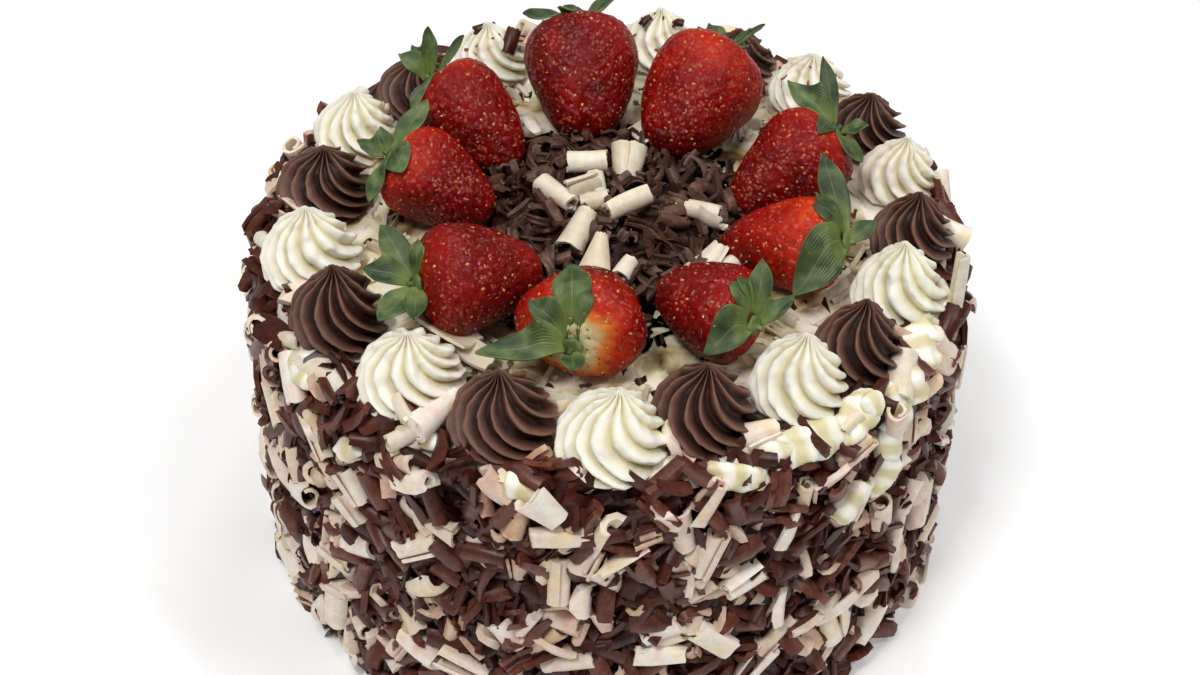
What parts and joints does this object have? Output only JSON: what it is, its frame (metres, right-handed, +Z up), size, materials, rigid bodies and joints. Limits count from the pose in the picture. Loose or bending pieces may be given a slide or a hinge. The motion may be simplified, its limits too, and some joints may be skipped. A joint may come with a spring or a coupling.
{
  "type": "chocolate strawberry cake",
  "caption": "Round cream cake with chocolate flakes and curls round its side, piped rosettes, whole strawberries and a heap of shavings on top.",
  "frame": {"origin": "centre of the cake's flat base, where it stands", "axes": "+Z up, -Y to the front that the picture shows, +X to the right in the picture"},
  "size_m": [0.2065, 0.2054, 0.1394],
  "materials": {
    "coated_cream": "whipped cream pressed full of dark and white chocolate flakes",
    "white_cream": "soft satin piped cream",
    "chocolate_cream": "soft satin piped chocolate cream",
    "strawberry": "fresh strawberry under a clear glaze",
    "leaf": "fresh green leaf",
    "shavings": "dark chocolate shavings with white curls"
  },
  "bodies": {
    "root": {"cake": "coated_cream", "white_rosette_01": "white_cream", "chocolate_rosette_02": "chocolate_cream", "white_rosette_03": "white_cream", "chocolate_rosette_04": "chocolate_cream", "white_rosette_05": "white_cream", "chocolate_rosette_06": "chocolate_cream", "white_rosette_07": "white_cream", "chocolate_rosette_08": "chocolate_cream", "white_rosette_09": "white_cream", "chocolate_rosette_10": "chocolate_cream", "white_rosette_11": "white_cream", "chocolate_rosette_12": "chocolate_cream", "white_rosette_13": "white_cream", "chocolate_rosette_14": "chocolate_cream", "white_rosette_15": "white_cream", "chocolate_rosette_16": "chocolate_cream", "white_rosette_17": "white_cream", "chocolate_rosette_18": "chocolate_cream", "white_rosette_19": "white_cream", "chocolate_rosette_20": "chocolate_cream", "strawberry_1": "strawberry", "strawberry_2": "strawberry", "strawberry_3": "strawberry", "strawberry_4": "strawberry", "strawberry_5": "strawberry", "strawberry_6": "strawberry", "strawberry_7": "strawberry", "strawberry_8": "strawberry", "strawberry_9": "strawberry", "leaves_1": "leaf", "leaves_2": "leaf", "leaves_3": "leaf", "leaves_4": "leaf", "leaves_5": "leaf", "leaves_6": "leaf", "leaves_7": "leaf", "leaves_8": "leaf", "leaves_9": "leaf", "centre_heap": "shavings"}
  },
  "joints": []
}
